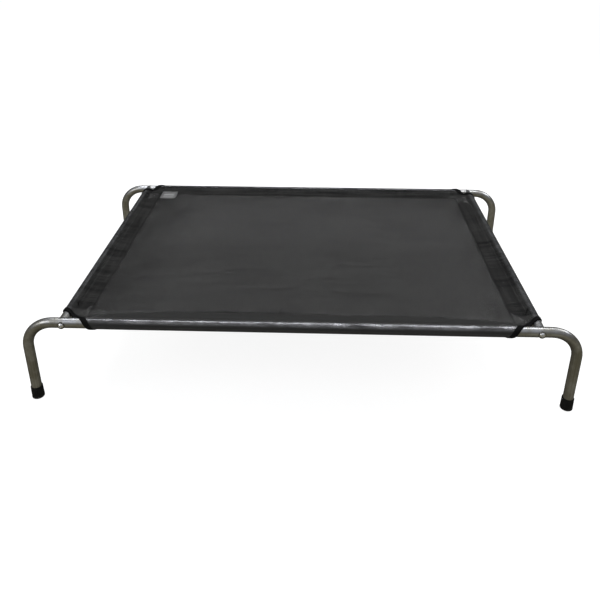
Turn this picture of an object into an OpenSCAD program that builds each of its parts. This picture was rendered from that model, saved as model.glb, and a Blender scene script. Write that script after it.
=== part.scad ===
// Raised pet bed: a stretched mesh cover on a frame of bent steel tube.
// +X is the long way, +Y goes from the front rail to the rear rail, +Z is up.
// The origin is on the floor, under the middle of the bed. Sizes are in millimetres.

/* [Frame] */
// Overall length, over the outside of the legs
frame_length = 1170; // [900:5:1500]
// Distance between the axes of the front rail and the rear rail
rail_spacing = 728; // [500:2:1000]
// Height of the rail axes above the floor
rail_height = 192; // [150:1:300]
// Outside diameter of every frame tube
tube_d = 22; // [18:0.5:32]
// Wall thickness of every frame tube
tube_wall = 1.2; // [1:0.1:2]
// Centre-line radius of the bend between a rail and its leg
bend_radius = 60; // [45:1:90]
// Distance between the axes of a leg and the nearest side tube
side_tube_inset = 82; // [70:1:130]

/* [Joint hardware] */
// Diameter of the frame screws
screw_d = 6; // [5:0.5:8]
// Diameter of the round screw heads
screw_head_d = 12; // [11:0.5:15]
// Height of the round screw heads
screw_head_h = 3.6; // [2.5:0.1:5]
// Width across the flats of the hexagon socket in a screw head
socket_across = 4; // [3:0.5:6]
// Depth of the hexagon socket
socket_depth = 2; // [1:0.1:2.4]
// Diameter of the saddle washers
washer_d = 15; // [14:0.5:18]
// Thickness of a saddle washer at its middle
washer_t = 1.4; // [1:0.1:2.5]
// Length of the threaded inserts in the side tube ends
insert_length = 26; // [18:1:40]
// How far a screw reaches into its insert
screw_engagement = 18; // [10:1:17]

/* [Foot caps] */
// Height of a rubber foot cap
cap_height = 28; // [20:1:40]
// Thickness of rubber under the end of a leg
cap_base = 4; // [3:0.5:8]
// Wall of a foot cap at its mouth
cap_wall = 1.6; // [1.2:0.1:3]
// Extra wall of a foot cap at the floor
cap_flare = 0.5; // [0:0.1:2]
// Radius of the rounded bottom edge of a foot cap
cap_round = 1.6; // [0.5:0.1:3]

/* [Cover] */
// Thickness of the mesh sheet
mesh_t = 1; // [0.6:0.1:1.5]
// Distance from a side tube axis to the seam of its hem
side_hem = 45; // [40:1:80]
// Distance from the front rail axis to the seam of its hem
front_hem = 45; // [28:1:80]
// Distance from the rear rail axis to the seam of its hem
rear_hem = 45; // [28:1:80]
// Length cut off each corner of the cover, along a tube axis
corner_cut = 30; // [24:1:50]
// How far a side hem stops short of a front or rear seam
side_mitre = 43; // [20:1:80]
// How far a front or rear hem stops short of a side seam
end_mitre = 36; // [20:1:80]
// Width of the binding tape on a cut corner
binding_width = 10; // [6:0.5:16]
// Thickness of the binding tape
binding_t = 0.8; // [0.4:0.1:1.5]
// Length of the woven label, along X
label_length = 46; // [20:1:70]
// Depth of the woven label, along Y
label_depth = 50; // [20:1:60]
// Thickness of the woven label
label_t = 0.6; // [0.4:0.1:1]

/* [Hidden] */
$fn = 64;

// Signs of the two ends of an axis
LEFT = -1;
RIGHT = 1;
FRONT = -1;
REAR = 1;

// Radial clearance between a screw and a hole it passes through
screw_clearance = 0.3;
// Radial clearance between a screw and the thread of its insert
thread_clearance = 0.05;
// Gap between a coped tube end, or an insert, and the rail
cope_clearance = 0.15;
// How far a coped end stops short of the rail axis
cope_stop = 4;
// Distance from the rail surface to the flat face of an insert
insert_setback = 1;
// Radial clearance between an insert and the bore of its tube
insert_clearance = 0.1;
// Radial clearance between a leg and its foot cap
cap_clearance = 0.1;
// Gap between the mesh and the tube it lies on
mesh_clearance = 0.2;
// Number of flat strips that a sleeve's round side is made of
loop_strips = 28;
// Distance from the seam corner to the label, along X and Y
label_gap = [6, 14];
// Radius of the label corners
label_round = 3;
// Overshoot that makes a cut run past a face
past = 1;

tube_r = tube_d / 2;
bore_r = tube_r - tube_wall;
leg_x = frame_length / 2 - tube_r;
rail_y = rail_spacing / 2;
side_x = leg_x - side_tube_inset;
straight_x = leg_x - bend_radius;
leg_top = rail_height - bend_radius;

washer_seat = rail_y + tube_r + washer_t;
insert_face = rail_y - tube_r - insert_setback;
screw_tip = insert_face - screw_engagement;

sleeve_r = tube_r + mesh_clearance + mesh_t;
sheet_top = rail_height + sleeve_r;
side_seam = side_x - side_hem;
front_seam = -(rail_y - front_hem);
rear_seam = rail_y - rear_hem;
cut_sum = side_x + rail_y - corner_cut;
tip_x = side_x - corner_cut / 2;
tip_y = rail_y - corner_cut / 2;

// ---------- frame tubes ----------

// A rail with its two bends and legs, as a solid rod of radius r.
// extra makes the open ends longer.
module rail_rod(r, extra = 0) {
    translate([-straight_x, 0, rail_height])
        rotate([0, 90, 0])
            cylinder(r = r, h = 2 * straight_x);
    for (side = [LEFT, RIGHT]) {
        mirror([side == LEFT ? 1 : 0, 0, 0]) {
            translate([straight_x, 0, leg_top])
                rotate([90, 0, 0])
                    rotate_extrude(angle = 90)
                        translate([bend_radius, 0])
                            circle(r = r);
            translate([leg_x, 0, cap_base - extra])
                cylinder(r = r, h = leg_top - cap_base + extra);
        }
    }
}

// A rail: bent tube with a cross hole on each side tube axis
module rail(end) {
    color("silver")
        translate([0, end * rail_y, 0])
            difference() {
                rail_rod(tube_r);
                rail_rod(bore_r, past);
                for (side = [LEFT, RIGHT]) {
                    translate([side * side_x, -tube_r - past, rail_height])
                        rotate([-90, 0, 0])
                            cylinder(r = screw_d / 2 + screw_clearance, h = tube_d + 2 * past);
                }
            }
}

// A side tube, its two ends coped to sit against the rails
module side_tube(side) {
    half_length = rail_y - cope_stop;
    color("silver")
        difference() {
            translate([side * side_x, -half_length, rail_height])
                rotate([-90, 0, 0])
                    cylinder(r = tube_r, h = 2 * half_length);
            translate([side * side_x, -half_length - past, rail_height])
                rotate([-90, 0, 0])
                    cylinder(r = bore_r, h = 2 * (half_length + past));
            for (end = [FRONT, REAR]) {
                translate([side * side_x - tube_d, end * rail_y, rail_height])
                    rotate([0, 90, 0])
                        cylinder(r = tube_r + cope_clearance, h = 2 * tube_d);
            }
        }
}

// ---------- joint hardware ----------

// Places a child, drawn along +Z from a joint's rail axis, so that +Z points away from the bed
module at_joint(side, end) {
    translate([side * side_x, end * rail_y, rail_height])
        rotate([end * -90, 0, 0])
            children();
}

// Threaded insert: a plug in the end of a side tube with a through hole for the screw
module insert(side, end) {
    color("dimgray")
        at_joint(side, end)
            translate([0, 0, insert_face - rail_y - insert_length])
                difference() {
                    cylinder(r = bore_r - insert_clearance, h = insert_length);
                    translate([0, 0, -past])
                        cylinder(r = screw_d / 2 + thread_clearance, h = insert_length + 2 * past);
                }
}

// Saddle washer: flat under the screw head, hollowed to sit on the rail
module washer(side, end) {
    color("gray")
        at_joint(side, end)
            difference() {
                cylinder(r = washer_d / 2, h = tube_r + washer_t);
                translate([0, 0, -past])
                    cylinder(r = screw_d / 2 + screw_clearance, h = tube_d);
                translate([-tube_d, 0, 0])
                    rotate([0, 90, 0])
                        cylinder(r = tube_r, h = 2 * tube_d);
            }
}

// Round-head screw with a hexagon socket
module screw(side, end) {
    head_r = screw_head_d / 2;
    dome_r = (head_r * head_r + screw_head_h * screw_head_h) / (2 * screw_head_h);
    color("gainsboro")
        at_joint(side, end)
            translate([0, 0, washer_seat - rail_y]) {
                difference() {
                    union() {
                        intersection() {
                            translate([0, 0, screw_head_h - dome_r])
                                sphere(r = dome_r);
                            cylinder(r = head_r + past, h = screw_head_h + past);
                        }
                        translate([0, 0, screw_tip - washer_seat])
                            cylinder(r = screw_d / 2, h = washer_seat - screw_tip + past);
                    }
                    translate([0, 0, screw_head_h - socket_depth])
                        cylinder(d = socket_across / cos(30), h = socket_depth + past, $fn = 6);
                }
            }
}

// ---------- feet ----------

// Rubber cap pushed over the end of a leg
module foot_cap(side, end) {
    mouth_r = tube_r + cap_clearance + cap_wall;
    floor_r = mouth_r + cap_flare;
    color("black")
        translate([side * leg_x, end * rail_y, 0])
            difference() {
                rotate_extrude()
                    polygon([
                        [0, 0],
                        [floor_r - cap_round, 0],
                        for (a = [15 : 15 : 75])
                            [floor_r - cap_round + cap_round * sin(a), cap_round - cap_round * cos(a)],
                        [floor_r, cap_round],
                        [mouth_r, cap_height - cap_wall / 2],
                        [mouth_r - cap_wall / 2, cap_height],
                        [0, cap_height]
                    ]);
                translate([0, 0, cap_base])
                    cylinder(r = tube_r + cap_clearance, h = cap_height);
            }
}

// ---------- cover ----------

// Outline of a sleeve loop of outer radius r: round the tube at the origin, flat on top,
// and closed at the seam, where the lower side meets the point [width, r - gap]
module loop_outline(r, width, gap) {
    reach = sqrt(width * width + (r - gap) * (r - gap));
    lower = atan2(r - gap, width) - acos(r / reach);
    polygon([
        [width, r],
        for (i = [0 : loop_strips])
            let (a = 90 + (270 + lower) * i / loop_strips)
                [r * cos(a), r * sin(a)],
        if (gap > 0)
            [width, r - gap]
    ]);
}

// Sleeve along +Y with its seam towards -X: a loop of mesh, its two layers sewn together at the seam
module sleeve_bar(width, length) {
    inner_r = sleeve_r - mesh_t;
    reach = sqrt(width * width + inner_r * inner_r);
    lower = atan2(inner_r, width) - acos(sleeve_r / reach);
    inner_width = inner_r * (1 - sin(lower)) / cos(lower);
    rotate([90, 0, 180])
        linear_extrude(height = length)
            difference() {
                loop_outline(sleeve_r, width, mesh_t);
                loop_outline(inner_r, inner_width, 0);
            }
}

// Plan of a side sleeve, for the right side: mitred to the tips of the cut corners
module side_sleeve_plan() {
    outer = side_x + sleeve_r + past;
    polygon([
        [side_seam - past, front_seam + side_mitre],
        [side_seam, front_seam + side_mitre],
        [tip_x, -tip_y],
        [outer, outer - cut_sum],
        [outer, cut_sum - outer],
        [tip_x, tip_y],
        [side_seam, rear_seam - side_mitre],
        [side_seam - past, rear_seam - side_mitre]
    ]);
}

// Plan of a front or rear sleeve, with y measured away from the middle of the bed
module end_sleeve_plan(seam) {
    outer = rail_y + sleeve_r + past;
    polygon([
        [-(side_seam - end_mitre), seam - past],
        [-(side_seam - end_mitre), seam],
        [-tip_x, tip_y],
        [outer - cut_sum, outer],
        [cut_sum - outer, outer],
        [tip_x, tip_y],
        [side_seam - end_mitre, seam],
        [side_seam - end_mitre, seam - past]
    ]);
}

// Sleeve on a side tube
module side_sleeve(side) {
    color("#303030")
        mirror([side == LEFT ? 1 : 0, 0, 0])
            intersection() {
                translate([side_x, -rail_y, rail_height])
                    sleeve_bar(side_hem, rail_spacing);
                linear_extrude(height = sheet_top + past)
                    side_sleeve_plan();
            }
}

// Sleeve on the front or rear rail
module end_sleeve(end, hem) {
    color("#303030")
        mirror([0, end == FRONT ? 1 : 0, 0])
            intersection() {
                translate([side_x, rail_y, rail_height])
                    rotate([0, 0, 90])
                        sleeve_bar(hem, 2 * side_x);
                linear_extrude(height = sheet_top + past)
                    end_sleeve_plan(rail_y - hem);
            }
}

// The flat sheet between the seams, with a point that runs out to each cut corner
module mesh_panel() {
    color("#444444")
        translate([0, 0, sheet_top - mesh_t])
            linear_extrude(height = mesh_t)
                polygon([
                    [side_seam, front_seam + side_mitre],
                    [side_seam, rear_seam - side_mitre],
                    [tip_x, tip_y],
                    [side_seam - end_mitre, rear_seam],
                    [-(side_seam - end_mitre), rear_seam],
                    [-tip_x, tip_y],
                    [-side_seam, rear_seam - side_mitre],
                    [-side_seam, front_seam + side_mitre],
                    [-tip_x, -tip_y],
                    [-(side_seam - end_mitre), front_seam],
                    [side_seam - end_mitre, front_seam],
                    [tip_x, -tip_y]
                ]);
}

// Binding tape along a cut corner, on top of the sheet and between the tube axes
module binding(side, end) {
    tape_length = corner_cut * sqrt(2);
    color("#262626")
        translate([side * tip_x, end * tip_y, sheet_top])
            rotate([0, 0, side * end * -45])
                translate([-tape_length / 2, end > 0 ? -binding_width : 0, 0])
                    cube([tape_length, binding_width, binding_t]);
}

// Plain woven label, sewn on at the rear left seam corner
module woven_label() {
    inner = [label_length - 2 * label_round, label_depth - 2 * label_round];
    color("#8a8a8a")
        translate([-side_seam + label_gap[0] + label_round, rear_seam + label_gap[1] - label_depth + label_round,
                   sheet_top])
            linear_extrude(height = label_t)
                union() {
                    translate([-label_round, 0])
                        square([label_length, inner[1]]);
                    translate([0, -label_round])
                        square([inner[0], label_depth]);
                    for (x = [0, inner[0]]) {
                        for (y = [0, inner[1]]) {
                            translate([x, y])
                                circle(r = label_round);
                        }
                    }
                }
}

rail(FRONT);  // front_rail
rail(REAR);  // rear_rail
side_tube(LEFT);  // left_side_tube
side_tube(RIGHT);  // right_side_tube
insert(LEFT, FRONT);  // front_left_insert
insert(RIGHT, FRONT);  // front_right_insert
insert(LEFT, REAR);  // rear_left_insert
insert(RIGHT, REAR);  // rear_right_insert
washer(LEFT, FRONT);  // front_left_washer
washer(RIGHT, FRONT);  // front_right_washer
washer(LEFT, REAR);  // rear_left_washer
washer(RIGHT, REAR);  // rear_right_washer
screw(LEFT, FRONT);  // front_left_screw
screw(RIGHT, FRONT);  // front_right_screw
screw(LEFT, REAR);  // rear_left_screw
screw(RIGHT, REAR);  // rear_right_screw
foot_cap(LEFT, FRONT);  // front_left_foot_cap
foot_cap(RIGHT, FRONT);  // front_right_foot_cap
foot_cap(LEFT, REAR);  // rear_left_foot_cap
foot_cap(RIGHT, REAR);  // rear_right_foot_cap
mesh_panel();
end_sleeve(FRONT, front_hem);  // front_sleeve
end_sleeve(REAR, rear_hem);  // rear_sleeve
side_sleeve(LEFT);  // left_sleeve
side_sleeve(RIGHT);  // right_sleeve
binding(LEFT, FRONT);  // front_left_binding
binding(RIGHT, FRONT);  // front_right_binding
binding(LEFT, REAR);  // rear_left_binding
binding(RIGHT, REAR);  // rear_right_binding
woven_label();
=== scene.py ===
"""Raised dog bed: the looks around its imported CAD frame. Metres, row frame, +Z up, front at -Y."""

import math

import bmesh
import bpy
from mathutils import Euler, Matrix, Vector, noise


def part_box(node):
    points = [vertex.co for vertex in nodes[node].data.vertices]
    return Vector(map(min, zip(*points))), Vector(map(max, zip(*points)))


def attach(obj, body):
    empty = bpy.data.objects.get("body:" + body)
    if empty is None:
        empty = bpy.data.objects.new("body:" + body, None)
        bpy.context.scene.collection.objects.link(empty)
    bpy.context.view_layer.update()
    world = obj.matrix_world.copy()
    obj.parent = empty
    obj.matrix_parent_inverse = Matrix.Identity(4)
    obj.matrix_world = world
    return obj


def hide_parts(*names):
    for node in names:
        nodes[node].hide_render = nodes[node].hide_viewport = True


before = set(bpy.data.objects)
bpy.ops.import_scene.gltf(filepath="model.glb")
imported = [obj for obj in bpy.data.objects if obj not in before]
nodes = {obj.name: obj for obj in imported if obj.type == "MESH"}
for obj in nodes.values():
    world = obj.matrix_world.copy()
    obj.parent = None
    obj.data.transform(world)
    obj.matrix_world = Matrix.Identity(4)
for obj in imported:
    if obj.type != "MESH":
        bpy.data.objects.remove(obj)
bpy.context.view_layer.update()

# ---------------------------------------------------------------- sizes from the frame
rail_low, rail_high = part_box("front_rail")
TUBE_R = (rail_high.y - rail_low.y) / 2
RAIL_Y = -(rail_low.y + rail_high.y) / 2
AXIS_Z = rail_high.z - TUBE_R
SIDE_X = sum(corner.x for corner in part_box("right_side_tube")) / 2
SIDE_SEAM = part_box("right_sleeve")[0].x
FRONT_SEAM = -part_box("front_sleeve")[1].y
REAR_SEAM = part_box("rear_sleeve")[0].y
CUT_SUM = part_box("front_sleeve")[1].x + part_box("right_sleeve")[1].y
CLOTH_Z = sum(corner.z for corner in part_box("mesh_panel")) / 2
LOOP_R = CLOTH_Z - AXIS_Z

# ---------------------------------------------------------------- sizes of the cloth work
CLOTH_T = 0.0008            # thickness of the woven mesh
PANEL_SAG = 0.005           # how far the middle hangs below the tubes
SEAM_DIP = 0.008            # how far the loops, closing round the tubes, pull the seams below the crests
HUG = math.radians(25)      # how far past its crest the deck follows a tube on the inner side
SEAM_SLOPE = 0.10           # slope of the hem where it meets the seam
SEAM_GROOVE = 0.0006        # how deep the stitches pull the cloth
LAYER_GAP = 0.0013          # from the deck down to the hem's lower layer at the seam
FRONT_BOW = 0.018           # how far the front seam runs outward near its ends
CORNER_DROOP = 0.0045       # how far a bound corner hangs between its tubes
RIPPLE = 0.0005             # height of the unevenness of the stretched cloth
PUCKER = 0.0009             # height of the gathers beside the bound corners
BINDING_W = 0.010           # width of the binding tape on the cloth
BINDING_STITCH = 0.78       # binding widths from the cut edge to the tape's stitches
BINDING_LIFT = 0.0011       # from the cloth up to the tape's stitches
LABEL_T = 0.0007            # thickness of the label
LABEL_LIFT = 0.0009         # from the cloth up to the label's upper face
STITCH = 0.0030             # length of one stitch
STITCH_PITCH = 0.0042       # from one stitch to the next
THREAD_R = 0.00045          # radius of the sewing thread
END_LEAN = 0.58             # inward run of a sleeve's end for each metre round its tube
HEM_LEAN = 0.50             # the same along the hem beneath the deck
FRONT_CUT_INSET = 0.010     # how much further in than 45 degrees a front corner is cut at the rail's crest
REAR_CUT_INSET = 0.002      # the same at the rear rail
SIDE_CUT_INSET = -0.003     # the same at a side tube
WEAVE_PITCH = 0.00135       # from one yarn of the mesh to the next
OPEN_FRONT = 0.26           # the mesh is open where both yarns are below this share of their height
OPEN_BACK = 0.88            # the same on the sheet's inner face, so that it hides nothing in the openings
STEEL_FROM = 0.68           # the same for the openings that a tube fills


# ---------------------------------------------------------------- mesh helpers
def new_piece(name, mesh, material):
    """Links a mesh as a smooth piece that rides on the frame."""
    piece = bpy.data.objects.new(name, mesh)
    bpy.context.scene.collection.objects.link(piece)
    mesh.materials.append(material)
    mesh.shade_smooth()
    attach(piece, "root")
    return piece


def mesh_from(name, points, faces):
    mesh = bpy.data.meshes.new(name)
    mesh.from_pydata([tuple(p) for p in points], [], faces)
    mesh.update()
    return mesh


def smoothstep(low, high, value):
    x = min(1.0, max(0.0, (value - low) / (high - low)))
    return x * x * (3 - 2 * x)


def swept_faces(rings, sides, start=0):
    """Faces of a capped tube whose rings of `sides` points follow each other."""
    faces = []
    for ring in range(rings - 1):
        for side in range(sides):
            a, b = start + ring * sides, start + (ring + 1) * sides
            after = (side + 1) % sides
            faces.append((a + side, a + after, b + after, b + side))
    last = start + (rings - 1) * sides
    faces.append(tuple(range(start + sides - 1, start - 1, -1)))
    faces.append(tuple(range(last, last + sides)))
    return faces


# ---------------------------------------------------------------- the cover's shape
# The cover is one flat piece of cloth. A point of it is (s, t), its place along X and Y before the
# edges are turned round the tubes. cover_point() says where that point of the cloth is on the bed.
def front_seam_at(s):
    """Distance of the front seam from the bed's middle: it bows outward towards the corners."""
    share = min(1.1, abs(s) / (SIDE_X - 0.08))
    wave = 0.0008 * math.sin(s * 23) + 0.0006 * math.sin(s * 61 + 1)
    return FRONT_SEAM + FRONT_BOW * share ** 5 + wave * max(0.0, 1 - share ** 4)


def rear_seam_at(s):
    return REAR_SEAM + 0.0006 * math.sin(s * 19 + 2) + 0.0003 * math.sin(s * 47)


def side_seam_at(t):
    return SIDE_SEAM + 0.0005 * math.sin(t * 21 + 1) + 0.0003 * math.sin(t * 53)


def seam_of(over_end, along, front):
    """Seam distance of the loop that a point belongs to."""
    if not over_end:
        return side_seam_at(along)
    return front_seam_at(along) if front else rear_seam_at(along)


def groove(distance):
    return SEAM_GROOVE * math.exp(-((distance / 0.0022) ** 2))


def edge_drop(distance, hem):
    """The deck's drop at a distance inward from a tube's crest: round the tube, then down to the seam."""
    hugged = LOOP_R * math.sin(HUG)
    if distance <= hugged:
        return LOOP_R - math.sqrt(LOOP_R ** 2 - distance ** 2)
    first, run = LOOP_R * (1 - math.cos(HUG)), hem - hugged
    u = min(1.0, (distance - hugged) / run)
    start = (2 * u ** 3 - 3 * u ** 2 + 1) * first + (u ** 3 - 2 * u ** 2 + u) * run * math.tan(HUG)
    return start + (3 * u ** 2 - 2 * u ** 3) * SEAM_DIP + (u ** 3 - u ** 2) * run * SEAM_SLOPE


def soft_min(a, b, softness):
    """The smaller of two numbers, rounded where they are about the same."""
    near = max(softness - abs(a - b), 0.0) / softness
    return min(a, b) - near * near * softness / 4


def corner_droop(s, t):
    """How far the slack middle of a bound corner hangs down between its two tubes."""
    from_side, from_end = SIDE_X - abs(s), RAIL_Y - abs(t)
    free = smoothstep(0.006, 0.016, from_side) * smoothstep(0.006, 0.016, from_end)
    return CORNER_DROOP * free * math.exp(-((max(0.0, cut_distance(s, t)) / 0.016) ** 2))


def cut_distance(s, t):
    """How far a deck point lies inside the 45 degree cut of its corner."""
    return (CUT_SUM - abs(s) - abs(t)) / math.sqrt(2)


def deck_height(s, t):
    """Height of the deck's cloth over the point (s, t), between the four tubes."""
    x, y = min(abs(s), SIDE_X), min(abs(t), RAIL_Y)
    end_seam = front_seam_at(s) if t < 0 else rear_seam_at(s)
    side_seam = side_seam_at(t)
    inside = (1 - (x / SIDE_X) ** 3) * (1 - (y / RAIL_Y) ** 3)
    side_drop = edge_drop(SIDE_X - x, SIDE_X - side_seam)
    end_drop = edge_drop(RAIL_Y - y, RAIL_Y - end_seam)
    drop = PANEL_SAG * inside + soft_min(side_drop, end_drop, 0.002) + corner_droop(s, t)
    free = smoothstep(0, 0.05, SIDE_X - x) * smoothstep(0, 0.03, RAIL_Y - y)
    unevenness = noise.noise(Vector((s * 9, t * 13, 0.3))) + 0.5 * noise.noise(Vector((s * 31, t * 27, 4)))
    gather = math.sin((abs(s) - abs(t)) * 230) * math.exp(-max(0.0, cut_distance(s, t)) / 0.022)
    line = groove(x - side_seam) * (y < end_seam + 0.01) + groove(y - end_seam) * (x < side_seam + 0.03)
    return CLOTH_Z - drop + free * (RIPPLE * unevenness + PUCKER * gather) - line


def loop_of(centre, seam, seam_drop):
    """Turn, arc, straight run and seam place of a loop round the tube at `centre`."""
    hem, rise = centre - seam, LOOP_R - seam_drop - LAYER_GAP
    reach = math.hypot(hem, rise)
    turn = 2.5 * math.pi - math.atan2(rise, -hem) - math.acos(LOOP_R / reach)
    return turn, LOOP_R * turn, math.sqrt(reach ** 2 - LOOP_R ** 2), (-hem, rise)


def round_tube(centre, seam, seam_drop, over):
    """(distance outward, height) of the cloth `over` metres past the crest of a tube."""
    turn, arc, straight, end = loop_of(centre, seam, seam_drop)
    if over <= arc:
        angle = math.pi / 2 - over / LOOP_R
        return centre + LOOP_R * math.cos(angle), AXIS_Z + LOOP_R * math.sin(angle)
    share = min(1.0, (over - arc) / straight)
    angle = math.pi / 2 - turn
    from_tube = (LOOP_R * math.cos(angle), LOOP_R * math.sin(angle))
    out = from_tube[0] + (end[0] - from_tube[0]) * share
    up = from_tube[1] + (end[1] - from_tube[1]) * share
    return centre + out, AXIS_Z + up


def loop_end(over_end, along, front):
    """Flat distances from the bed's middle to the end of a loop's arc and to the end of its hem."""
    centre = RAIL_Y if over_end else SIDE_X
    seam = seam_of(over_end, along, front)
    drop = CLOTH_Z - seam_height(over_end, along, front)
    arc, straight = loop_of(centre, seam, drop)[1:3]
    return centre + arc, centre + arc + straight


def seam_height(over_end, along, front):
    seam = seam_of(over_end, along, front)
    if over_end:
        return deck_height(along, -seam if front else seam)
    return deck_height(seam, along)


def cover_point(s, t):
    """Where the cloth's flat point (s, t) lies on the made-up bed."""
    if abs(t) > RAIL_Y:
        front = t < 0
        drop = CLOTH_Z - seam_height(True, s, front)
        out, up = round_tube(RAIL_Y, seam_of(True, s, front), drop, abs(t) - RAIL_Y)
        return Vector((s, -out if front else out, up))
    if abs(s) > SIDE_X:
        drop = CLOTH_Z - seam_height(False, t, False)
        out, up = round_tube(SIDE_X, side_seam_at(t), drop, abs(s) - SIDE_X)
        return Vector((math.copysign(out, s), t, up))
    return Vector((s, t, deck_height(s, t)))


def cover_normal(s, t):
    """Outward normal of the cloth at a flat point."""
    step = 0.0004
    along_s = cover_point(s + step, t) - cover_point(s - step, t)
    along_t = cover_point(s, t + step) - cover_point(s, t - step)
    return along_s.cross(along_t).normalized()


def corner_cut(front):
    """The cut edge of one corner in flat (s, t), both positive, from the end hem to the side hem."""
    top_end = (CUT_SUM - RAIL_Y - (FRONT_CUT_INSET if front else REAR_CUT_INSET), RAIL_Y)
    top_side = (SIDE_X, CUT_SUM - SIDE_X - SIDE_CUT_INSET)
    end_arc, end_stop = loop_end(True, top_end[0], front)
    side_arc, side_stop = loop_end(False, top_side[1], front)
    under_end = top_end[0] - (end_arc - RAIL_Y) * END_LEAN
    under_side = top_side[1] - (side_arc - SIDE_X) * END_LEAN
    points = [
        (under_end - (end_stop - end_arc) * HEM_LEAN, end_stop),
        (under_end, end_arc),
        top_end,
        top_side,
        (side_arc, under_side),
        (side_stop, under_side - (side_stop - side_arc) * HEM_LEAN),
    ]
    return rounded([Vector(p) for p in points], 2)


def rounded(points, times):
    """Cuts the corners of an open line, so that it becomes a smooth curve."""
    for _ in range(times):
        cut = [points[0]]
        for a, b in zip(points, points[1:]):
            cut += [a.lerp(b, 0.25), a.lerp(b, 0.75)]
        points = cut + [points[-1]]
    return points


# ---------------------------------------------------------------- the cover as a mesh
def steps(low, high, size):
    """Evenly spaced values from low up to, not including, high."""
    count = max(1, round((high - low) / size))
    return [low + (high - low) * i / count for i in range(count)]


def half_lines(seam, centre):
    """Grid lines from the middle of the bed to a tube's crest, close together beside the seam."""
    beside = [seam + d for d in (-0.004, -0.0022, -0.001, 0.0, 0.001, 0.0022)]
    return (steps(0, seam - 0.008, 0.009) + [seam - 0.008] + beside
            + steps(seam + 0.004, centre - 0.008, 0.006) + steps(centre - 0.008, centre, 0.0016))


def loop_shares():
    """Places on a loop: how far along its arc, then how far along its straight run."""
    arc = [(i / 18, 0.0) for i in range(19)]
    run = [(1.0, i / 6) for i in range(1, 7)]
    return arc + run


def axis_lines(near, far):
    """Grid lines across the cloth as (side, distance or None, loop share or None)."""
    loops = loop_shares()
    negative = [(-1, None, share) for share in reversed(loops)]
    negative += [(-1, d, None) for d in reversed(near[1:])]
    positive = [(1, d, None) for d in far] + [(1, None, share) for share in loops]
    return negative + positive


def flat_place(line, along, over_end):
    """Flat coordinate of a grid line where it crosses `along` on the other axis."""
    side, distance, share = line
    front = side < 0
    centre = RAIL_Y if over_end else SIDE_X
    if share is None:
        base = seam_of(over_end, 0, front)
        shift = seam_of(over_end, along, front) - base
        weight = smoothstep(base - 0.09, base, distance) * (1 - smoothstep(base, centre, distance))
        return side * (distance + shift * weight)
    arc_end, stop = loop_end(over_end, along, front)
    return side * (centre + (arc_end - centre) * share[0] + (stop - arc_end) * share[1])


def flat_grid():
    """The uncut cloth as a bmesh in flat (s, t)."""
    columns = axis_lines(half_lines(SIDE_SEAM, SIDE_X), half_lines(SIDE_SEAM, SIDE_X))
    rows = axis_lines(half_lines(FRONT_SEAM, RAIL_Y), half_lines(REAR_SEAM, RAIL_Y))
    flat = bmesh.new()
    grid = []
    for row in rows:
        rough_t = flat_place(row, 0, True)
        line = []
        for column in columns:
            s = flat_place(column, rough_t, False)
            line.append(flat.verts.new((s, flat_place(row, s, True), 0)))
        grid.append(line)
    for low, high in zip(grid, grid[1:]):
        for i in range(len(low) - 1):
            flat.faces.new((low[i], low[i + 1], high[i + 1], high[i]))
    return flat


def cut_corner(flat, side, end):
    """Cuts one corner off the flat cloth along its cut edge, one plane for each piece of the edge."""
    outline = [Vector((side * p.x, end * p.y)) for p in corner_cut(end < 0)]
    outward = Vector((side, end))
    planes = []
    for a, b in zip(outline, outline[1:]):
        normal = Vector((b.y - a.y, a.x - b.x))
        normal *= 1 if normal.dot(outward) > 0 else -1
        planes.append((a, normal.normalized()))
    margin = 0.03
    reach_x = min(abs(p.x) for p in outline) - margin
    reach_y = min(abs(p.y) for p in outline) - margin
    for point, normal in planes:
        near = [f for f in flat.faces
                if all(v.co.x * side > reach_x and v.co.y * end > reach_y for v in f.verts)]
        edges = list({e for f in near for e in f.edges})
        geometry = near + edges + list({v for f in near for v in f.verts})
        bmesh.ops.bisect_plane(flat, geom=geometry, dist=1e-6, plane_co=(*point, 0), plane_no=(*normal, 0))

    def beyond(face):
        middle = face.calc_center_median().xy
        return middle.x * side > 0 and middle.y * end > 0 and all(
            (middle - point).dot(normal) > 0 for point, normal in planes)

    bmesh.ops.delete(flat, geom=[f for f in flat.faces if beyond(f)], context="FACES")


def make_cover(front_weave, back_weave):
    """The whole cloth: deck, hems and loops in one sheet. Returns it and its flat area."""
    flat = flat_grid()
    for side in (-1, 1):
        for end in (-1, 1):
            cut_corner(flat, side, end)
    area = sum(face.calc_area() for face in flat.faces)
    layer = flat.loops.layers.uv.new("cloth")
    for face in flat.faces:
        for loop in face.loops:
            loop[layer].uv = loop.vert.co.xy
    for vert in flat.verts:
        vert.co = cover_point(vert.co.x, vert.co.y)
    mesh = bpy.data.meshes.new("mesh_cover")
    flat.to_mesh(mesh)
    flat.free()
    cover = new_piece("mesh_cover", mesh, front_weave)
    mesh.materials.append(back_weave)
    thicken = cover.modifiers.new("thickness", "SOLIDIFY")
    thicken.thickness = CLOTH_T
    thicken.offset = 0
    thicken.material_offset = 1
    thicken.material_offset_rim = 0
    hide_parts("mesh_panel", "front_sleeve", "rear_sleeve", "left_sleeve", "right_sleeve")
    return cover, area


# ---------------------------------------------------------------- bindings, label and stitches
def inward_normals(outline):
    """For each point of a flat line, the unit direction towards the bed's middle."""
    found = []
    for i, point in enumerate(outline):
        a, b = outline[max(0, i - 1)], outline[min(len(outline) - 1, i + 1)]
        normal = Vector((a.y - b.y, b.x - a.x)).normalized()
        found.append(normal if normal.dot(point) < 0 else -normal)
    return found


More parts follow.
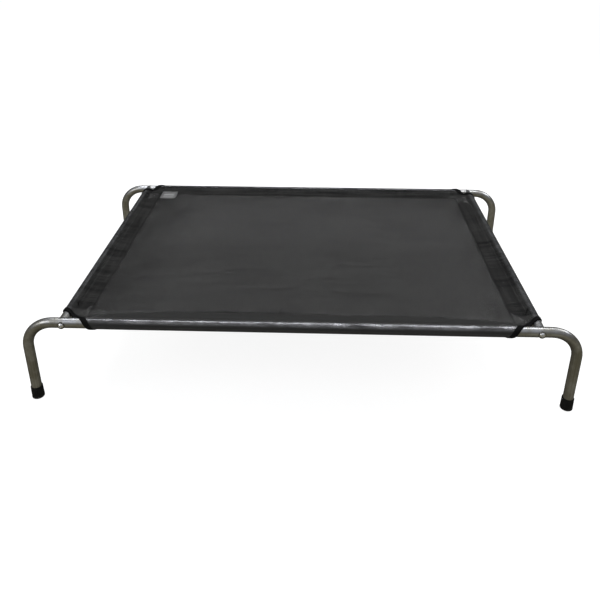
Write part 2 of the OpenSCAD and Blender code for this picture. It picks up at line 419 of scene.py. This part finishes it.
def resampled(outline, pitch):
    """Points a steady distance apart along a flat or spatial line."""
    lengths = [0.0]
    for a, b in zip(outline, outline[1:]):
        lengths.append(lengths[-1] + (b - a).length)
    count = max(2, round(lengths[-1] / pitch))
    found, piece = [], 0
    for i in range(count + 1):
        want = lengths[-1] * i / count
        while piece < len(outline) - 2 and lengths[piece + 1] < want:
            piece += 1
        share = (want - lengths[piece]) / (lengths[piece + 1] - lengths[piece])
        found.append(outline[piece].lerp(outline[piece + 1], share))
    return found


# Section of the folded tape, along its outer face and back along its inner face: how far in from
# the cut edge, in binding widths, and how far out from the cloth, in millimetres
BINDING_SECTION = [(1.0, 0.8), (0.93, 1.3), (0.6, 1.7), (0.25, 2.2), (0.02, 2.1), (-0.12, 1.2),
                   (-0.13, 0.2), (-0.06, -0.45), (0.1, -0.55), (0.6, -0.55), (0.98, -0.5)]


def make_binding(name, side, end, material):
    """Tape folded over the cut edge of one corner, from hem to hem round both tubes."""
    outline = resampled([Vector((side * p.x, end * p.y)) for p in corner_cut(end < 0)], 0.0028)
    inward = inward_normals(outline)
    points = []
    for i, (place, normal) in enumerate(zip(outline, inward)):
        swell = 1 + 0.10 * math.sin(i * 0.9) + 0.06 * math.sin(i * 2.3 + side)
        for across, out in BINDING_SECTION:
            flat = place + normal * across * BINDING_W
            base = place + normal * max(across, 0.05) * BINDING_W
            lift = 0.001 * out * (swell if out > 1 else 1)
            on_cloth = cover_point(base.x, base.y)
            outward = (on_cloth - cover_point(*(base + normal * 0.001))).normalized()
            points.append(on_cloth + cover_normal(base.x, base.y) * lift + outward * (base - flat).length)
    mesh = mesh_from(f"{name}_edge_tape", points, swept_faces(len(outline), len(BINDING_SECTION)))
    fix_normals(mesh)
    piece = new_piece(f"{name}_edge_tape", mesh, material)
    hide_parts(f"{name}_binding")
    return piece


def fix_normals(mesh):
    work = bmesh.new()
    work.from_mesh(mesh)
    bmesh.ops.recalc_face_normals(work, faces=work.faces)
    work.to_mesh(mesh)
    work.free()


def make_label(material):
    """Woven label lying on the deck, its rim a little lower than its middle."""
    low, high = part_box("woven_label")
    columns, rows, corner = 30, 32, 0.003   # corner: radius of the label's corners
    work = bmesh.new()
    grid = []
    for j in range(rows + 1):
        line = []
        for i in range(columns + 1):
            x, y = low.x + (high.x - low.x) * i / columns, low.y + (high.y - low.y) * j / rows
            past_x = max(0.0, corner - min(x - low.x, high.x - x))
            past_y = max(0.0, corner - min(y - low.y, high.y - y))
            if past_x > 0 and past_y > 0:
                keep = corner / max(corner, math.hypot(past_x, past_y))
                x += math.copysign(past_x * (1 - keep), (low.x + high.x) / 2 - x)
                y += math.copysign(past_y * (1 - keep), (low.y + high.y) / 2 - y)
            rim = max(past_x, past_y) / corner
            cockle = 0.0003 * math.sin(x * 210 + 1) * math.sin(y * 170)
            z = deck_height(x, y) + CLOTH_T / 2 + LABEL_LIFT - 0.0003 * rim ** 3 + cockle
            line.append(work.verts.new((x, y, z)))
        grid.append(line)
    for a, b in zip(grid, grid[1:]):
        for i in range(columns):
            work.faces.new((a[i], a[i + 1], b[i + 1], b[i]))
    mesh = bpy.data.meshes.new("label")
    work.to_mesh(mesh)
    work.free()
    label = new_piece("label", mesh, material)
    thicken = label.modifiers.new("thickness", "SOLIDIFY")
    thicken.thickness = LABEL_T
    thicken.offset = -1
    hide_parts("woven_label")
    return label


def add_stitch(points, faces, start, stop, up):
    """One stitch: a short thread that dives into the cloth at both ends."""
    along = stop - start
    across = along.cross(up).normalized()
    sides, rings = 6, 5
    first = len(points)
    for ring in range(rings):
        share = ring / (rings - 1)
        middle = start + along * share + up * THREAD_R * (2.2 * math.sin(math.pi * share) - 0.7)
        radius = THREAD_R * (0.55 + 0.45 * math.sin(math.pi * share))
        for side in range(sides):
            turn = 2 * math.pi * side / sides
            points.append(middle + (across * math.cos(turn) + up * math.sin(turn)) * radius)
    faces.extend(swept_faces(rings, sides, first))


def make_stitches(name, lines, material, lift=0.0):
    """Rows of stitches that follow flat lines on the cover, as one piece."""
    points, faces = [], []
    for line in lines:
        for a, b in zip(line, line[1:]):
            up = cover_normal(*a)
            start = cover_point(*a) + up * (CLOTH_T / 2 + lift)
            stop = cover_point(*b) + up * (CLOTH_T / 2 + lift)
            stop = start + (stop - start) * (STITCH / STITCH_PITCH)
            add_stitch(points, faces, start, stop, up)
    mesh = mesh_from(name, points, faces)
    fix_normals(mesh)
    return new_piece(name, mesh, material)


def seam_lines():
    """Flat lines of the four seams, each up to the bindings."""
    reach = CUT_SUM - BINDING_W * 1.6
    lines = []
    for side in (-1, 1):
        along = steps(-FRONT_SEAM - 0.012, REAR_SEAM + 0.006, 0.01)
        lines.append(resampled([Vector((side * side_seam_at(t), t)) for t in along], STITCH_PITCH))
    for front, stop in ((True, reach - front_seam_at(0.45)), (False, SIDE_SEAM + 0.004)):
        sign = -1 if front else 1
        line = [Vector((s, sign * seam_of(True, s, front))) for s in steps(-stop, stop, 0.01)]
        lines.append(resampled(line, STITCH_PITCH))
    return lines


def binding_lines():
    """Flat lines of the stitches along the four bindings."""
    lines = []
    for side in (-1, 1):
        for end in (-1, 1):
            outline = [Vector((side * p.x, end * p.y)) for p in corner_cut(end < 0)]
            inward = inward_normals(outline)
            stitched = [p + n * BINDING_W * BINDING_STITCH for p, n in zip(outline, inward)]
            lines.append(resampled(stitched, STITCH_PITCH))
    return lines


def label_lines():
    """Flat line of the stitches round the label."""
    low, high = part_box("woven_label")
    inset = 0.0018
    corners = [(low.x + inset, low.y + inset), (high.x - inset, low.y + inset),
               (high.x - inset, high.y - inset), (low.x + inset, high.y - inset)]
    corners = [Vector(c) for c in corners]
    return [resampled([a, b], STITCH_PITCH) for a, b in zip(corners, corners[1:] + corners[:1])]


# ---------------------------------------------------------------- materials
class Nodes:
    """Small help for building a node material."""

    def __init__(self, name):
        self.material = bpy.data.materials.new(name)
        self.material.use_nodes = True
        self.tree = self.material.node_tree
        self.tree.nodes.clear()
        self.output = self.add("ShaderNodeOutputMaterial")
        self.shader = self.add("ShaderNodeBsdfPrincipled")
        self.link(self.shader.outputs[0], self.output.inputs["Surface"])

    def add(self, kind, **settings):
        node = self.tree.nodes.new(kind)
        for key, value in settings.items():
            setattr(node, key, value)
        return node

    def link(self, source, target):
        self.tree.links.new(source, target)

    def feed(self, socket, value):
        if isinstance(value, bpy.types.NodeSocket):
            self.link(value, socket)
        else:
            socket.default_value = value

    def math(self, operation, a, b=0.0, c=0.0, clamp=False):
        node = self.add("ShaderNodeMath", operation=operation, use_clamp=clamp)
        for socket, value in zip(node.inputs, (a, b, c)):
            self.feed(socket, value)
        return node.outputs[0]

    def ranged(self, value, low, high, to_low, to_high, smooth=False):
        node = self.add("ShaderNodeMapRange")
        node.interpolation_type = "SMOOTHSTEP" if smooth else "LINEAR"
        for socket, number in zip(node.inputs[:5], (value, low, high, to_low, to_high)):
            self.feed(socket, number)
        return node.outputs[0]

    def mixed(self, share, a, b):
        """Two colours or vectors mixed by a share."""
        node = self.add("ShaderNodeMix", data_type="RGBA")
        self.feed(node.inputs[0], share)
        self.feed(node.inputs[6], a)
        self.feed(node.inputs[7], b)
        return node.outputs[2]

    def between(self, share, a, b):
        """Two numbers mixed by a share."""
        node = self.add("ShaderNodeMix", data_type="FLOAT")
        for socket, value in zip((node.inputs[0], node.inputs[2], node.inputs[3]), (share, a, b)):
            self.feed(socket, value)
        return node.outputs[0]

    def scaled(self, vector, x, y, z):
        node = self.add("ShaderNodeVectorMath", operation="MULTIPLY")
        self.link(vector, node.inputs[0])
        node.inputs[1].default_value = (x, y, z)
        return node.outputs[0]

    def place(self):
        return self.add("ShaderNodeTexCoord").outputs["Object"]

    def noise(self, vector, scale, detail=2.0, roughness=0.5):
        node = self.add("ShaderNodeTexNoise")
        self.link(vector, node.inputs["Vector"])
        node.inputs["Scale"].default_value = scale
        node.inputs["Detail"].default_value = detail
        node.inputs["Roughness"].default_value = roughness
        return node.outputs["Fac"]

    def bump(self, height, distance, strength=1.0):
        node = self.add("ShaderNodeBump")
        node.inputs["Strength"].default_value = strength
        node.inputs["Distance"].default_value = distance
        self.link(height, node.inputs["Height"])
        self.link(node.outputs[0], self.shader.inputs["Normal"])

    def set(self, **values):
        for name, value in values.items():
            self.feed(self.shader.inputs[name.replace("_", " ")], value)


def steel(name, run, bright, dark, low_rough, high_rough):
    """Bright drawn tube: streaks along `run` ("x" with legs along z, or "y"), stains and fine scratches."""
    n = Nodes(name)
    place = n.place()
    fine, long = 420, 5
    if run == "y":
        streaks = n.noise(n.scaled(place, fine, long, fine), 1.0, 3)
    else:
        along_rail = n.noise(n.scaled(place, long, fine, fine), 1.0, 3)
        along_leg = n.noise(n.scaled(place, fine, fine, long), 1.0, 3)
        height = n.add("ShaderNodeSeparateXYZ")
        n.link(place, height.inputs[0])
        share = n.ranged(height.outputs[2], AXIS_Z - 0.045, AXIS_Z - 0.005, 0, 1, smooth=True)
        streaks = n.mixed(share, along_leg, along_rail)
    blotches = n.noise(place, 38, 4, 0.6)
    stain = n.ranged(blotches, 0.35, 0.68, 0, 1, smooth=True)
    tone = n.math("ADD", n.math("MULTIPLY", streaks, 0.65), n.math("MULTIPLY", stain, 0.35), clamp=True)
    n.set(Base_Color=n.mixed(n.ranged(tone, 0.25, 0.75, 0, 1), dark, bright), Metallic=1.0,
          Roughness=n.ranged(tone, 0.2, 0.8, high_rough, low_rough))
    n.bump(streaks, 0.00012, 0.5)
    return n.material


def fastener_steel(name, bright, dark):
    """Plated small parts, with a fine grain and patches of wear."""
    n = Nodes(name)
    place = n.place()
    grain = n.noise(place, 900, 3, 0.6)
    wear = n.noise(place, 160, 3, 0.5)
    n.set(Base_Color=n.mixed(n.ranged(wear, 0.35, 0.65, 0, 1), dark, bright), Metallic=1.0,
          Roughness=n.ranged(grain, 0.3, 0.7, 0.16, 0.36))
    n.bump(grain, 0.00006, 0.4)
    return n.material


def rubber(name):
    """Matt black moulded rubber, dusty where it meets the floor."""
    n = Nodes(name)
    place = n.place()
    grain = n.noise(place, 1500, 2, 0.6)
    cloudy = n.noise(place, 120, 4, 0.6)
    height = n.add("ShaderNodeSeparateXYZ")
    n.link(place, height.inputs[0])
    low = n.ranged(height.outputs[2], 0.0, 0.008, 1, 0, smooth=True)
    dust = n.math("MULTIPLY", low, n.ranged(cloudy, 0.4, 0.7, 0, 0.5), clamp=True)
    tint = n.mixed(n.ranged(cloudy, 0.3, 0.7, 0, 1), (0.002, 0.002, 0.002, 1), (0.006, 0.006, 0.0058, 1))
    n.set(Base_Color=n.mixed(dust, tint, (0.03, 0.029, 0.026, 1)),
          Roughness=n.ranged(cloudy, 0.3, 0.7, 0.55, 0.72))
    n.shader.inputs["Specular IOR Level"].default_value = 0.15
    n.bump(grain, 0.0001, 0.35)
    return n.material


def over_tube(n, coordinate, axis):
    """Share by which a flat coordinate lies where the cloth touches the tube at `axis`."""
    over = n.math("SUBTRACT", n.math("ABSOLUTE", coordinate), axis)
    inner = -LOOP_R * math.sin(HUG)
    starts = n.ranged(over, inner - 0.001, inner + 0.002, 0, 1)
    return n.math("MULTIPLY", starts, n.ranged(over, LOOP_R * 3.2, LOOP_R * 3.5, 1, 0))


def steel_share(n, coordinate, axis):
    """Share of the steel that shows through the cloth: most at a tube's crest, none beneath."""
    over = n.math("SUBTRACT", n.math("ABSOLUTE", coordinate), axis)
    return n.ranged(over, LOOP_R * 0.35, LOOP_R * 1.25, 1, 0, smooth=True)


def weave_yarns(n, across, along):
    """Height of the upper yarn, and of the higher of warp and weft, in a plain weave."""
    warp = n.math("ABSOLUTE", n.math("SINE", n.math("MULTIPLY", across, math.pi)))
    weft = n.math("ABSOLUTE", n.math("SINE", n.math("MULTIPLY", along, math.pi)))
    odd = n.math("ADD", n.math("FLOOR", across), n.math("FLOOR", along))
    weft_over = n.math("MODULO", n.math("ABSOLUTE", odd), 2.0)
    return n.mixed(weft_over, warp, weft), n.math("MAXIMUM", warp, weft)


def weave_tone(n, flat, across, along, streaks):
    """Unevenness of the cloth: streaks, threads, patches, and a tone that returns every few yarns."""
    threads = n.noise(n.scaled(flat, 190, 5, 1), 1.0, 2, 0.5)
    patches = n.noise(flat, 7, 3, 0.5)
    tone = n.math("ADD", n.math("MULTIPLY", streaks, 0.68), n.math("MULTIPLY", threads, 0.24))
    tone = n.math("ADD", tone, n.math("MULTIPLY", patches, 0.08), clamp=True)
    yarns = n.math("MULTIPLY", n.math("SINE", n.math("MULTIPLY", across, 2 * math.pi / 3)), 0.035)
    picks = n.math("MULTIPLY", n.math("SINE", n.math("MULTIPLY", along, 2 * math.pi / 5)), 0.030)
    return n.math("ADD", tone, n.math("ADD", yarns, picks))


def weave_colour(n, tone, t, outer_side_shade):
    """Charcoal coating, with painted light making the front hem paler and painted shade making the outer
    side of the side sleeves near black.
    """
    cloth = n.mixed(n.ranged(tone, 0.41, 0.59, 0, 1), (0.001, 0.001, 0.001, 1), (0.037, 0.0366, 0.0350, 1))
    # Painted light: the front hem is made paler than the rest of the cloth.
    front_hem_painted_light = n.ranged(t, -FRONT_SEAM - 0.002, -FRONT_SEAM + 0.001, 0.8, 0)
    cloth = n.mixed(front_hem_painted_light, cloth, (0.042, 0.0415, 0.040, 1))
    # Painted shade: the outer side of the side sleeves goes near black.
    return n.mixed(outer_side_shade, cloth, (0.001, 0.001, 0.001, 1))


def steel_behind(n, s, t, over_side, over_rail, outer_side_shade):
    """How much of the steel behind the cloth is seen: more over the rails than over the side tubes."""
    on_rail = n.math("MULTIPLY", over_rail, steel_share(n, t, RAIL_Y))
    on_side = n.math("MULTIPLY", over_side, steel_share(n, s, SIDE_X))
    # No steel shows on the outer side, where painted shade keeps the sleeve near black.
    on_side = n.math("MULTIPLY", on_side, n.ranged(outer_side_shade, 0, 0.9, 0.22, 0))
    return n.math("MAXIMUM", on_rail, on_side)


def weave(name, open_from):
    """Coated mesh in the cloth's own flat coordinates, open where both yarns are below open_from.
    Where it lies on a tube, steel fills the openings instead."""
    n = Nodes(name)
    flat = n.add("ShaderNodeUVMap", uv_map="cloth").outputs[0]
    parts = n.add("ShaderNodeSeparateXYZ")
    n.link(flat, parts.inputs[0])
    s, t = parts.outputs[0], parts.outputs[1]
    across, along = n.math("DIVIDE", s, WEAVE_PITCH), n.math("DIVIDE", t, WEAVE_PITCH)
    yarn, thickest = weave_yarns(n, across, along)
    streaks = n.noise(n.scaled(flat, 5, 150, 1), 1.0, 3, 0.6)
    tone = weave_tone(n, flat, across, along, streaks)
    # Painted shade: mask of the outer side of the side sleeves, painted near black, with no specular and no
    # steel there.
    outer_side_shade = n.ranged(n.math("ABSOLUTE", s), SIDE_X + LOOP_R * 0.6, SIDE_X + LOOP_R, 0, 0.9)
    cloth = weave_colour(n, tone, t, outer_side_shade)
    # Painted shade: the cloth darkens towards black where the yarn dips, in the gaps between yarns.
    colour = n.mixed(n.ranged(yarn, 0.2, 0.9, 0.0, 1.0), (0.003, 0.003, 0.003, 1), cloth)
    over_side, over_rail = over_tube(n, s, SIDE_X), over_tube(n, t, RAIL_Y)
    steel_seen = steel_behind(n, s, t, over_side, over_rail, outer_side_shade)
    shows_steel = n.math("MULTIPLY", steel_seen, n.math("LESS_THAN", thickest, STEEL_FROM))
    smears = n.noise(n.scaled(flat, 22, 60, 1), 1.0, 3, 0.6)
    metal = n.mixed(n.ranged(smears, 0.35, 0.65, 0, 1), (0.20, 0.20, 0.21, 1), (0.85, 0.85, 0.88, 1))
    covered = n.math("GREATER_THAN", thickest, open_from)
    # Specular fades out on the outer side, so that its painted shade stays black.
    n.set(Base_Color=n.mixed(shows_steel, colour, metal), Metallic=shows_steel,
          Roughness=n.between(shows_steel, n.ranged(streaks, 0.3, 0.7, 0.5, 0.65), 0.08),
          Alpha=n.math("MAXIMUM", covered, n.math("MAXIMUM", over_side, over_rail)),
          Specular_IOR_Level=n.ranged(outer_side_shade, 0, 0.9, 0.08, 0))
    relief = n.math("ADD", yarn, n.math("MULTIPLY", streaks, 0.3))
    n.bump(n.between(shows_steel, relief, 0.4), 0.00025, 0.6)
    return n.material


def tape(name, dark, light, pitch=0.0011):
    """Ribbed woven tape or thread."""
    n = Nodes(name)
    place = n.place()
    ribs = n.add("ShaderNodeTexWave", wave_type="BANDS", bands_direction="DIAGONAL")
    n.link(place, ribs.inputs["Vector"])
    ribs.inputs["Scale"].default_value = 1 / (pitch * 6)
    ribs.inputs["Distortion"].default_value = 1.5
    fuzz = n.noise(place, 800, 3, 0.6)
    tone = n.math("ADD", n.math("MULTIPLY", ribs.outputs["Fac"], 0.5), n.math("MULTIPLY", fuzz, 0.5))
    n.set(Base_Color=n.mixed(n.ranged(tone, 0.25, 0.75, 0, 1), dark, light),
          Roughness=n.ranged(fuzz, 0.3, 0.7, 0.55, 0.75))
    n.shader.inputs["Specular IOR Level"].default_value = 0.04
    n.bump(tone, 0.0003, 0.6)
    return n.material


def label_cloth(name):
    """Dark grey label weave with plain lighter bands and no lettering."""
    low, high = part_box("woven_label")
    n = Nodes(name)
    place = n.place()
    parts = n.add("ShaderNodeSeparateXYZ")
    n.link(place, parts.inputs[0])
    depth = n.ranged(parts.outputs[1], low.y, high.y, 0, 1)
    width = n.ranged(parts.outputs[0], low.x, high.x, 0, 1)
    fuzz = n.noise(place, 900, 3, 0.6)
    ragged = n.math("ADD", depth, n.math("MULTIPLY", n.math("SUBTRACT", fuzz, 0.5), 0.02))
    bands = 0.0
    for middle, half in ((0.78, 0.018), (0.52, 0.085), (0.28, 0.022), (0.18, 0.022)):
        away = n.math("ABSOLUTE", n.math("SUBTRACT", ragged, middle))
        bands = n.math("MAXIMUM", bands, n.ranged(away, half, half + 0.012, 1, 0))
    edge = n.math("ABSOLUTE", n.math("SUBTRACT", width, 0.5))
    bands = n.math("MULTIPLY", bands, n.ranged(edge, 0.33, 0.35, 1, 0))
    ribs = n.math("ABSOLUTE", n.math("SINE", n.math("MULTIPLY", parts.outputs[1], math.pi / 0.0007)))
    picks = n.math("ABSOLUTE", n.math("SINE", n.math("MULTIPLY", parts.outputs[0], math.pi / 0.0007)))
    thread = n.math("MULTIPLY", ribs, picks)
    ground = n.mixed(thread, (0.040, 0.040, 0.039, 1), (0.085, 0.085, 0.083, 1))
    marks = n.mixed(thread, (0.17, 0.17, 0.168, 1), (0.30, 0.30, 0.297, 1))
    n.set(Base_Color=n.mixed(bands, ground, marks), Roughness=n.ranged(fuzz, 0.3, 0.7, 0.55, 0.7))
    n.shader.inputs["Sheen Weight"].default_value = 0.1
    n.bump(n.math("ADD", thread, n.math("MULTIPLY", fuzz, 0.4)), 0.0002, 0.5)
    return n.material


def dress_frame():
    """Gives the CAD tubes, fasteners and foot caps their finished materials."""
    bright, dark = (0.46, 0.47, 0.495, 1), (0.25, 0.242, 0.212, 1)
    rail_steel = steel("rail_steel", "x", bright, dark, 0.25, 0.42)
    side_steel = steel("side_tube_steel", "y", bright, dark, 0.25, 0.42)
    screw_steel = fastener_steel("screw_steel", (0.86, 0.86, 0.86, 1), (0.66, 0.66, 0.66, 1))
    washer_steel = fastener_steel("washer_steel", (0.22, 0.21, 0.20, 1), (0.10, 0.10, 0.095, 1))
    insert_steel = fastener_steel("insert_steel", (0.50, 0.47, 0.38, 1), (0.34, 0.32, 0.28, 1))
    cap_rubber = rubber("cap_rubber")
    finishes = (("_rail", rail_steel), ("_side_tube", side_steel), ("_screw", screw_steel),
                ("_washer", washer_steel), ("_insert", insert_steel), ("_foot_cap", cap_rubber))
    for name, node in nodes.items():
        for ending, material in finishes:
            if name.endswith(ending):
                node.material_slots[0].material = material


# ---------------------------------------------------------------- the soft pieces
def make_soft_pieces():
    tape_black = tape("binding_black", (0.0015, 0.0015, 0.0015, 1), (0.007, 0.007, 0.007, 1))
    thread_black = tape("thread_black", (0.006, 0.006, 0.006, 1), (0.020, 0.020, 0.020, 1), 0.0005)
    thread_grey = tape("thread_grey", (0.12, 0.12, 0.12, 1), (0.24, 0.24, 0.24, 1), 0.0005)
    cover, area = make_cover(weave("mesh_weave", OPEN_FRONT), weave("mesh_weave_back", OPEN_BACK))
    for side, side_name in ((-1, "left"), (1, "right")):
        for end, end_name in ((-1, "front"), (1, "rear")):
            make_binding(f"{end_name}_{side_name}", side, end, tape_black)
    label = make_label(label_cloth("label_weave"))
    seams = make_stitches("seam_stitches", seam_lines(), thread_black)
    edging = make_stitches("binding_stitches", binding_lines(), thread_black, BINDING_LIFT)
    tacks = make_stitches("label_stitches", label_lines(), thread_grey, LABEL_LIFT)
    width = 2 * loop_end(False, 0, False)[1]
    length = loop_end(True, 0, True)[1] + loop_end(True, 0, False)[1]


# ---------------------------------------------------------------- stage, light and camera
def make_floor():
    """Pale studio floor that gives most of its own white, so that its shadows stay faint."""
    half = 30.0
    mesh = mesh_from("floor", [(-half, -half, 0), (half, -half, 0), (half, half, 0), (-half, half, 0)],
                     [(0, 1, 2, 3)])
    floor = bpy.data.objects.new("floor", mesh)
    bpy.context.scene.collection.objects.link(floor)
    n = Nodes("floor_white")
    grain = n.noise(n.place(), 6, 3, 0.5)
    n.set(Base_Color=n.mixed(grain, (0.24, 0.24, 0.24, 1), (0.27, 0.27, 0.27, 1)), Roughness=0.9)
    n.shader.inputs["Emission Color"].default_value = (1, 1, 1, 1)
    n.shader.inputs["Emission Strength"].default_value = 0.90
    mesh.materials.append(n.material)
    floor.visible_glossy = False


def make_world():
    """White to the camera; to light and reflections, a bright ceiling over a dim olive horizon."""
    world = bpy.data.worlds.new("studio")
    bpy.context.scene.world = world
    world.use_nodes = True
    tree = world.node_tree
    tree.nodes.clear()
    output = tree.nodes.new("ShaderNodeOutputWorld")
    seen = tree.nodes.new("ShaderNodeBackground")
    room = tree.nodes.new("ShaderNodeBackground")
    mix = tree.nodes.new("ShaderNodeMixShader")
    path = tree.nodes.new("ShaderNodeLightPath")
    place = tree.nodes.new("ShaderNodeTexCoord")
    parts = tree.nodes.new("ShaderNodeSeparateXYZ")
    ramp = tree.nodes.new("ShaderNodeValToRGB")
    half = tree.nodes.new("ShaderNodeMath")
    half.operation = "MULTIPLY_ADD"
    half.inputs[1].default_value = 0.5
    half.inputs[2].default_value = 0.5
    behind = tree.nodes.new("ShaderNodeMapRange")
    for socket, number in zip(behind.inputs[1:5], (-0.6, 0.8, 1.15, 0.45)):
        socket.default_value = number
    stops = [(0.0, (0.10, 0.092, 0.068, 1)), (0.36, (0.28, 0.262, 0.195, 1)),
             (0.50, (0.185, 0.172, 0.13, 1)), (0.60, (0.16, 0.155, 0.14, 1)),
             (0.78, (0.36, 0.37, 0.39, 1)), (1.0, (0.74, 0.76, 0.81, 1))]
    while len(ramp.color_ramp.elements) < len(stops):
        ramp.color_ramp.elements.new(0.5)
    for element, (position, colour) in zip(ramp.color_ramp.elements, stops):
        element.position = position
        element.color = colour
    seen.inputs[0].default_value = (1, 1, 1, 1)
    seen.inputs[1].default_value = 1.0
    tree.links.new(place.outputs["Generated"], parts.inputs[0])
    tree.links.new(parts.outputs[2], half.inputs[0])
    tree.links.new(half.outputs[0], ramp.inputs[0])
    tree.links.new(ramp.outputs[0], room.inputs[0])
    tree.links.new(parts.outputs[1], behind.inputs[0])
    tree.links.new(behind.outputs[0], room.inputs[1])
    tree.links.new(path.outputs["Is Camera Ray"], mix.inputs[0])
    tree.links.new(room.outputs[0], mix.inputs[1])
    tree.links.new(seen.outputs[0], mix.inputs[2])
    tree.links.new(mix.outputs[0], output.inputs[0])


def area_light(name, size, place, target, power, colour=(1, 1, 1)):
    lamp = bpy.data.lights.new(name, "AREA")
    lamp.shape = "RECTANGLE"
    lamp.size, lamp.size_y = size
    lamp.energy = power
    lamp.color = colour
    piece = bpy.data.objects.new(name, lamp)
    bpy.context.scene.collection.objects.link(piece)
    piece.location = place
    piece.rotation_euler = (Vector(target) - Vector(place)).to_track_quat("-Z", "Y").to_euler()


def make_lights():
    middle = (0, 0, AXIS_Z)
    area_light("overhead", (2.6, 0.9), (0.0, 0.55, 2.3), middle, 50, (0.97, 0.98, 1.0))
    area_light("left_fill", (1.2, 1.2), (-2.2, -1.4, 1.7), middle, 16)
    area_light("right_fill", (1.2, 1.2), (2.2, 0.6, 1.7), middle, 16)


def make_camera():
    """The view fitted to the photograph: front, from above, with a vertical lens shift."""
    data = bpy.data.cameras.new("camera")
    camera = bpy.data.objects.new("camera", data)
    bpy.context.scene.collection.objects.link(camera)
    data.lens, data.sensor_width = 38.52, 36.0
    data.shift_y = -0.1667
    pitch, yaw, roll = math.radians(23.45), math.radians(-1.895), math.radians(-0.03)
    camera.location = (0.0381, -1.4711, 0.9582)
    camera.rotation_euler = Euler((math.pi / 2 - pitch, roll, -yaw), "XYZ")
    bpy.context.scene.camera = camera


bpy.context.scene.view_settings.view_transform = "Standard"
make_camera()
make_world()
make_lights()
make_floor()
dress_frame()
make_soft_pieces()
